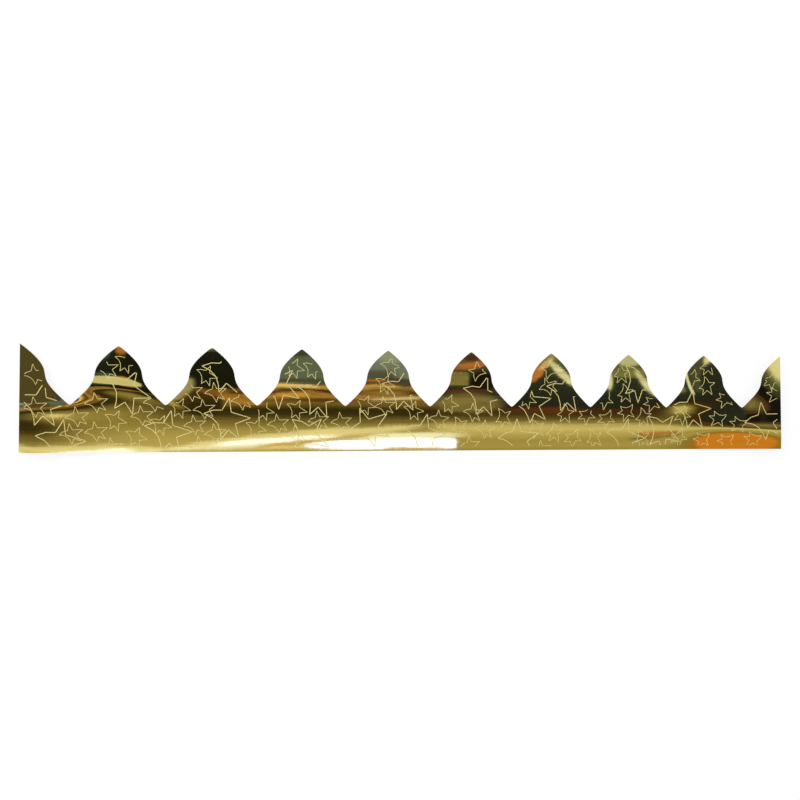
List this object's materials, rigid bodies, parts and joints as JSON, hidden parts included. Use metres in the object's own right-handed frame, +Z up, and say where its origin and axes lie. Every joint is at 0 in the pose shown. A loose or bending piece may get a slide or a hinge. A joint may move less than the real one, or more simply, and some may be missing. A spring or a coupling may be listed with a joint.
{
  "type": "paper crown",
  "caption": "Open paper crown: a long die-cut strip of mirror-gold foil card with a row of pointed arch teeth, lying foil up with its cut ends curling off the table.",
  "frame": {"origin": "under the middle of the strip's outline seen from above, at the height of the table it lies on", "axes": "+X along the strip, +Y from the straight edge to the tips of the teeth, +Z up out of the foil side"},
  "size_m": [0.621, 0.08, 0.0093],
  "materials": {
    "foil_card": "uncoated card back and cut edge",
    "gold_foil": "mirror gold foil with pale star outlines"
  },
  "bodies": {
    "root": {"crown_strip": "foil_card"}
  },
  "joints": []
}
